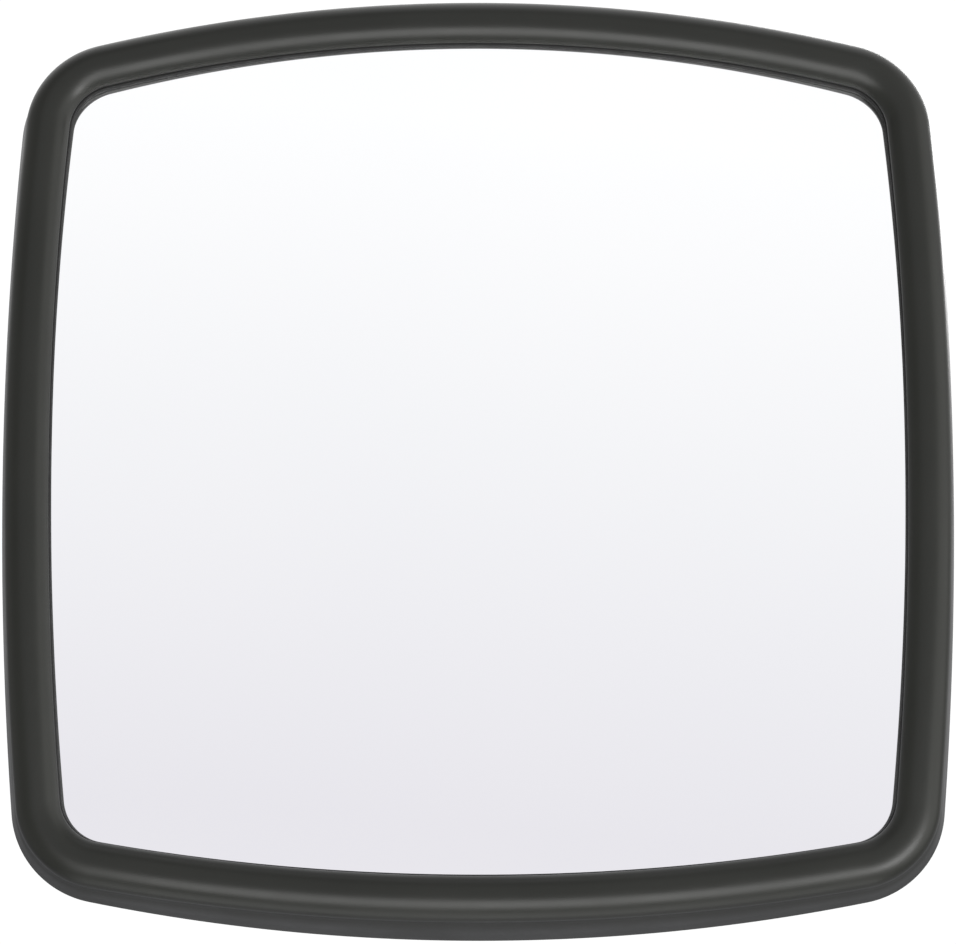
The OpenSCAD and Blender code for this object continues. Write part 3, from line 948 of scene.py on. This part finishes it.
def make_mount_fasteners():
    """The four bolts, washers and nuts that clamp the head bracket to the dish."""
    bolts, washers, nuts = Shape(), Shape(), Shape()
    head_y = BOSS_Y - SHELL_WALL - BACKING_T
    back_y = BOSS_Y + PLATE_T
    for place in at_mount_bolts(head_y):
        hex_bolt(bolts, M8_R, M8_FLATS, M8_HEAD, MOUNT_BOLT, M8_PITCH, MOUNT_THREAD, place)
    for place in at_mount_bolts(back_y + M8_WASHER_T):
        washers.add(*washer(M8_WASHER_R, M8_HOLE_R, M8_WASHER_T), place)
    for place in at_mount_bolts(back_y + M8_WASHER_T + M8_NUT):
        nuts.add(*hex_nut(M8_FLATS, M8_R, M8_NUT), place)
    bolts.piece("mount_bolt_set", "mirror_head", ["mount_bolts"], *PLATED)
    washers.piece("mount_washer_set", "mirror_head", ["mount_washers"], *PLATED)
    nuts.piece("mount_nut_set", "mirror_head", ["mount_nuts"], *PLATED)


def make_head_bracket():
    """A plate on the dish's boss, with two welded ears that hold the tilt bolt."""
    outline = round_rectangle(-HEAD_PLATE_X, -HEAD_PLATE_Z, HEAD_PLATE_X, HEAD_PLATE_Z, PLATE_CORNER)
    holes = four_holes(MOUNT_X, MOUNT_Z, M8_HOLE_R)
    plate_y = BOSS_Y + PLATE_T
    shape = Shape().add(*plate(outline, holes, PLATE_T), at(0, plate_y, 0, FORWARDS))
    ear = plate(eye_outline(EAR_R, TILT_Y - plate_y), [(0, 0, HINGE_R + RUN_GAP)], PLATE_T)
    for x in (-EAR_GAP - PLATE_T, EAR_GAP):
        shape.add(*ear, turned((x, TILT_Y, 0), (0, 0, 1), (0, -1, 0)))
    for sign in ENDS:
        for x, side in ((sign * EAR_GAP, -sign), (sign * (EAR_GAP + PLATE_T), sign)):
            start, end = Vector((x, plate_y, -EAR_R)), Vector((x, plate_y, EAR_R))
            weld(shape, start, end, Vector((0, 1, 0)), Vector((side, 0, 0)))
    shape.piece("head_bracket_weldment", "mirror_head", ["head_bracket"], *STEEL)


def make_yoke():
    """Two cheeks on the tilt axis and two fork plates on the pan axis, welded to one web."""
    web_front = WEB_Y - PLATE_T
    web = plate(round_rectangle(-YOKE_HALF, -YOKE_HALF, YOKE_HALF, YOKE_HALF, 2 * MM), [], PLATE_T)
    shape = Shape().add(*web, at(0, WEB_Y, 0, FORWARDS))
    cheek = plate(eye_outline(EAR_R, web_front - TILT_Y), [(0, 0, HINGE_R)], PLATE_T)
    fork = plate(eye_outline(FORK_R, PAN_Y - WEB_Y), [(0, 0, HINGE_R + RUN_GAP)], PLATE_T)
    for low in (-YOKE_HALF, FORK_GAP):
        shape.add(*cheek, turned((low, TILT_Y, 0), (0, 0, -1), (0, 1, 0)))
        shape.add(*fork, turned((0, PAN_Y, low), (-1, 0, 0), (0, -1, 0)))
    for sign in ENDS:
        x = sign * FORK_GAP
        weld(shape, Vector((x, web_front, -EAR_R)), Vector((x, web_front, EAR_R)),
             Vector((0, -1, 0)), Vector((-sign, 0, 0)))
        weld(shape, Vector((-FORK_R, WEB_Y, x)), Vector((FORK_R, WEB_Y, x)),
             Vector((0, 1, 0)), Vector((0, 0, -sign)))
    shape.piece("yoke_weldment", "swivel", ["swivel_yoke"], *STEEL)


def make_hinge(body, names, face, place, disc_r):
    """A clamped hinge: bolt, two washers, nut, centre tube and two nylon discs along one axis.

    The washers bear at face from the middle, and place gives the matrix at a length along the axis.
    """
    bolt_node, washer_node, nut_node, tube_node, disc_node = names
    washer_face = face + M10_WASHER_T
    bolt, washers, nut, tube, discs = Shape(), Shape(), Shape(), Shape(), Shape()
    length = 2 * washer_face + M10_NUT + TAIL
    hex_bolt(bolt, HINGE_R, M10_FLATS, M10_HEAD, length, M10_PITCH, HINGE_THREAD, place(washer_face))
    for low in (face, -washer_face):
        washers.add(*washer(M10_WASHER_R, HINGE_R, M10_WASHER_T), place(low))
    nut.add(*hex_nut(M10_FLATS, HINGE_R, M10_NUT), place(-washer_face - M10_NUT))
    tube.add(*washer(HINGE_R + TUBE_WALL, HINGE_R, 2 * FORK_GAP), place(-FORK_GAP))
    for low in (YOKE_HALF, -YOKE_HALF - DISC_T):
        discs.add(*washer(disc_r, HINGE_R, DISC_T), place(low))
    bolt.piece(bolt_node + "_rod", body, [bolt_node], *PLATED)
    washers.piece(washer_node + "_set", body, [washer_node], *PLATED)
    nut.piece(nut_node + "_hex", body, [nut_node], *PLATED)
    metal = ("bush_bronze", BRONZE) if tube_node == "pan_bush" else PLATED
    tube.piece(tube_node + "_tube", "swivel", [tube_node], *metal)
    discs.piece(disc_node + "_pair", "swivel", [disc_node], "nylon", NYLON)


def make_pole_bracket():
    """A plate behind the saddles, with two stiffened lugs that hold the pan bolt."""
    outline = round_rectangle(-POLE_PLATE_X, -POLE_PLATE_Z, POLE_PLATE_X, POLE_PLATE_Z, PLATE_CORNER)
    holes = four_holes(U_BEND_R, U_BOLT_Z, M8_HOLE_R)
    shape = Shape().add(*plate(outline, holes, PLATE_T), at(0, BRACKET_Y + PLATE_T, 0, FORWARDS))
    lug = plate(eye_outline(FORK_R, BRACKET_Y - PAN_Y), [(0, 0, HINGE_R)], PLATE_T)
    gusset = plate([(0, 0), (0, GUSSET_L), (-GUSSET_H, 0)], [], PLATE_T, edge=0.5 * MM)
    for sign in ENDS:
        inner, outer = sign * EAR_GAP, sign * LUG_FACE
        shape.add(*lug, at(0, PAN_Y, min(inner, outer)))
        for x in (-GUSSET_X, GUSSET_X):
            start = (x - sign * PLATE_T / 2, BRACKET_Y, outer)
            shape.add(*gusset, turned(start, (0, 1, 0), (0, 0, sign)))
        for z, side in ((inner, -sign), (outer, sign)):
            weld(shape, Vector((-FORK_R, BRACKET_Y, z)), Vector((FORK_R, BRACKET_Y, z)),
                 Vector((0, -1, 0)), Vector((0, 0, side)))
    shape.piece("pole_bracket_weldment", "pole_clamp", ["pole_bracket"], *STEEL)


def make_saddles():
    """Blocks between the bracket and the pole, with shallow teeth that grip it."""
    back_y = SADDLE_WRAP - POLE_R
    front_y = back_y - SADDLE_DEPTH
    reach = math.degrees(math.acos(-back_y / POLE_R))
    outline = [(-SADDLE_X, back_y), (-SADDLE_X, front_y), (SADDLE_X, front_y), (SADDLE_X, back_y)]
    for i in range(TEETH + 1):
        a = math.radians(-90 + reach - 2 * reach * i / TEETH)
        r = POLE_R + (TOOTH if i % 2 else 0)
        outline.append((r * math.cos(a), r * math.sin(a)))
    block = plate(outline, [], SADDLE_H, edge=0.25 * MM)
    for name, z in (("upper_saddle", U_BOLT_Z), ("lower_saddle", -U_BOLT_Z)):
        shape = Shape().add(*block, at(0, 0, z - SADDLE_H / 2))
        shape.piece(name + "_block", "pole_clamp", [name], *STEEL)


def make_u_bolts():
    """Threaded rods bent round the pole, with their washers and nuts."""
    leg = -BRACKET_Y + M8_WASHER_T + M8_NUT + U_BOLT_TAIL
    bend = math.pi * U_BEND_R
    total = 2 * leg + bend
    cut_thread = thread(M8_R, M8_PITCH, 0, total)
    up = Vector((0, 0, 1))

    def radius_at(length, angle):
        near_end = min(length, total - length)
        return cut_thread(length, angle) if near_end < U_BOLT_THREAD else M8_R

    count = int(U_BOLT_THREAD / M8_PITCH * THREAD_STEPS)
    ends = [U_BOLT_THREAD * i / count for i in range(count + 1)]
    plain_steps = 60
    plain = total - 2 * U_BOLT_THREAD
    middle = [U_BOLT_THREAD + plain * i / plain_steps for i in range(1, plain_steps)]
    path = []
    for s in ends + middle + [total - e for e in reversed(ends)]:
        if s < leg:
            path.append((s, Vector((-U_BEND_R, s - leg, 0)), Vector((-1, 0, 0)), up))
        elif s > leg + bend:
            path.append((s, Vector((U_BEND_R, total - s - leg, 0)), Vector((1, 0, 0)), up))
        else:
            a = math.pi - (s - leg) / U_BEND_R
            out = Vector((math.cos(a), math.sin(a), 0))
            path.append((s, out * U_BEND_R, out, up))
    rods, washers, nuts = Shape(), Shape(), Shape()
    for z in (-U_BOLT_Z, U_BOLT_Z):
        rods.add(*rod(path, radius_at, 0.8 * MM), at(0, 0, z))
        for x in (-U_BEND_R, U_BEND_R):
            washers.add(*washer(M8_WASHER_R, M8_HOLE_R, M8_WASHER_T), at(x, BRACKET_Y, z, FORWARDS))
            nuts.add(*hex_nut(M8_FLATS, M8_R, M8_NUT), at(x, BRACKET_Y - M8_WASHER_T, z, FORWARDS))
    rods.piece("u_bolt_pair", "pole_clamp", ["u_bolts"], *PLATED)
    washers.piece("u_bolt_washer_set", "pole_clamp", ["u_bolt_washers"], *PLATED)
    nuts.piece("u_bolt_nut_set", "pole_clamp", ["u_bolt_nuts"], *PLATED)


# ---- Lights, camera and floor ----

VIEW_BELOW = math.radians(14.4)
VIEW_LEFT = math.radians(0.2)
VIEW_DISTANCE = 3.2855
VIEW_LENS = 262.8
AIM_DOWN = 15.4 * MM
AIM_LEFT = 0.3 * MM
SCREEN_LEAN = math.radians(-6)


def make_camera():
    """A long lens, a little below the mirror's axis, as far off as the perspective asks."""
    data = bpy.data.cameras.new("camera")
    data.sensor_width = 36
    data.lens = VIEW_LENS
    data.clip_end = 100
    camera = new_object("camera", data)
    level = math.cos(VIEW_BELOW)
    back = Vector((-math.sin(VIEW_LEFT) * level, -math.cos(VIEW_LEFT) * level, -math.sin(VIEW_BELOW)))
    up = Vector((0, 0, 1)) - back * back.z
    front = Vector((0, FRONT_Y, 0))
    camera.location = front + back * VIEW_DISTANCE
    target = front - up.normalized() * AIM_DOWN - Vector((AIM_LEFT, 0, 0))
    camera.rotation_euler = (target - camera.location).to_track_quat("-Z", "Y").to_euler()
    bpy.context.scene.camera = camera


def soft_patch(tree, direction, inner, outer):
    """1 in directions within the inner angle of a direction, fading to 0 at the outer angle."""
    coord = node(tree, "ShaderNodeTexCoord")
    aim = node(tree, "ShaderNodeVectorMath", operation="DOT_PRODUCT")
    tree.links.new(coord.outputs["Generated"], aim.inputs[0])
    aim.inputs[1].default_value = Vector(direction).normalized()
    fade = node(tree, "ShaderNodeMapRange", interpolation_type="SMOOTHSTEP")
    fade.inputs["From Min"].default_value = math.cos(math.radians(outer))
    fade.inputs["From Max"].default_value = math.cos(math.radians(inner))
    tree.links.new(aim.outputs["Value"], fade.inputs["Value"])
    return fade.outputs["Result"]


def make_world():
    """A dim studio with a large white screen in front, which the mirror shows, and a white backdrop.

    The screen leans a little, and fades from white at its top to pale lilac below. The soft patches
    are, in order, above, behind, at the left, at the right and low in front.
    """
    world = bpy.data.worlds.new("studio")
    bpy.context.scene.world = world
    world.use_nodes = True
    tree = world.node_tree
    tree.nodes.clear()
    coord = node(tree, "ShaderNodeTexCoord")
    leaning = node(tree, "ShaderNodeMapping", Rotation=(0, SCREEN_LEAN, 0))
    tree.links.new(coord.outputs["Generated"], leaning.inputs["Vector"])
    split = node(tree, "ShaderNodeSeparateXYZ")
    tree.links.new(leaning.outputs["Vector"], split.inputs["Vector"])
    height = node(tree, "ShaderNodeMapRange")
    height.inputs["From Min"].default_value = -1
    tree.links.new(split.outputs["Z"], height.inputs["Value"])
    screen = ramp(
        tree, height.outputs["Result"],
        (0.42, (0.865, 0.85, 0.89)), (0.63, (0.975, 0.975, 0.99)), (0.79, (1.07, 1.07, 1.07)),
    )
    room = (0.17, 0.17, 0.17)
    for direction, inner, outer, light in (
        ((0.1, 0.6, 1), 25, 70, (1.5, 1.5, 1.5)),
        ((0, 1, -0.4), 20, 60, (0.32, 0.32, 0.34)),
        ((-1, -0.3, 0), 25, 65, (0.66, 0.66, 0.64)),
        ((1, -0.6, -0.1), 24, 64, (2.1, 2.1, 2.06)),
        ((0, -1, -0.95), 10, 38, (2.5, 2.5, 2.46)),
    ):
        room = blend(tree, "MIX", soft_patch(tree, direction, inner, outer), room, light)
    ahead = soft_patch(tree, (0, -1, 0.26), 36, 50)
    studio = node(tree, "ShaderNodeBackground")
    tree.links.new(blend(tree, "MIX", ahead, room, screen), studio.inputs["Color"])
    white = node(tree, "ShaderNodeBackground", Color=(1.05, 1.05, 1.05, 1))
    path = node(tree, "ShaderNodeLightPath")
    mix = node(tree, "ShaderNodeMixShader")
    tree.links.new(path.outputs["Is Camera Ray"], mix.inputs["Fac"])
    tree.links.new(studio.outputs["Background"], mix.inputs[1])
    tree.links.new(white.outputs["Background"], mix.inputs[2])
    output = node(tree, "ShaderNodeOutputWorld")
    tree.links.new(mix.outputs["Shader"], output.inputs["Surface"])


def left_out(piece):
    """A light-linking collection that keeps one piece out of the light."""
    group = bpy.data.collections.new("left_out")
    group.objects.link(piece)
    group.collection_objects[0].light_linking.link_state = "EXCLUDE"
    return group


def area_light(name, place, aim, width, height, watts, unseen_by):
    """A rectangular lamp aimed at a point. Its light-linking collection says what it leaves out."""
    data = bpy.data.lights.new(name, "AREA")
    data.shape = "RECTANGLE"
    data.size = width
    data.size_y = height
    data.energy = watts
    light = new_object(name, data)
    light.location = place
    light.rotation_euler = (Vector(aim) - Vector(place)).to_track_quat("-Z", "Y").to_euler()
    light.light_linking.receiver_collection = unseen_by


def make_lights(mirror):
    """A wide strip low in front, a key at the lower right, a light from below and one for the back.

    The mirror shows none of them, so no lamp's hard outline lies across it from any side.
    """
    head = (0, FRONT_Y, 0)
    unseen_by = left_out(mirror)
    for name, place, aim, width, height, watts in (
        ("low_strip", (0, -2.2, -1.8), head, 2.8, 1.75, 53),
        ("key", (1.9, -1.7, -1.4), head, 1.2, 1.0, 40),
        ("under", (0, 0.15, -2.0), head, 2.4, 1.2, 11),
        ("rear_fill", (1.2, 2.4, 1.6), (0, -0.1, 0), 1.4, 1.4, 32),
    ):
        area_light(name, place, aim, width, height, watts, unseen_by)


def make_floor():
    """A pale floor far below, which fades out into the white studio."""
    drop, spread, sides, count = 2.2, 3.6, 64, 6
    rings = [circle(spread * k / count, -drop, sides) for k in range(1, count + 1)]
    verts, faces = bridge(rings, closed=False)
    faces.append(tuple(range(sides)))
    mesh = new_mesh("floor", verts, faces)
    floor = new_object("floor", mesh)
    made, tree, shader = material("floor", Roughness=0.85)
    vector = coordinates(tree)
    tone = noisy(tree, vector, 3, 3, 0.5, (0.3, 0.80), (0.7, 0.84))
    tree.links.new(tone, shader.inputs["Base Color"])
    reach = node(tree, "ShaderNodeVectorMath", operation="LENGTH")
    tree.links.new(vector, reach.inputs[0])
    fade = node(tree, "ShaderNodeMapRange", interpolation_type="SMOOTHSTEP")
    for key, value in (("From Min", 1.0), ("From Max", spread), ("To Min", 1.0), ("To Max", 0.0)):
        fade.inputs[key].default_value = value
    tree.links.new(reach.outputs["Value"], fade.inputs["Value"])
    tree.links.new(fade.outputs["Result"], shader.inputs["Alpha"])
    mesh.materials.append(made)


scene = bpy.context.scene
scene.view_settings.view_transform = "Standard"
make_camera()
make_world()
make_floor()
make_bezel()
make_seal()
make_lights(make_mirror())
make_back_shell()
make_rim_screws()
make_backing_plate()
make_mount_fasteners()
make_head_bracket()
make_yoke()
make_hinge(
    "swivel", ("tilt_bolt", "tilt_washers", "tilt_nut", "tilt_spacer", "tilt_friction_discs"),
    OUTER_FACE, lambda x: at(x, TILT_Y, 0, RIGHTWARDS), EAR_R - DISC_INSET)
make_hinge(
    "pole_clamp", ("pan_bolt", "pan_washers", "pan_nut", "pan_bush", "pan_friction_discs"),
    LUG_FACE, lambda z: at(0, PAN_Y, z), FORK_R - DISC_INSET)
make_pole_bracket()
make_saddles()
make_u_bolts()
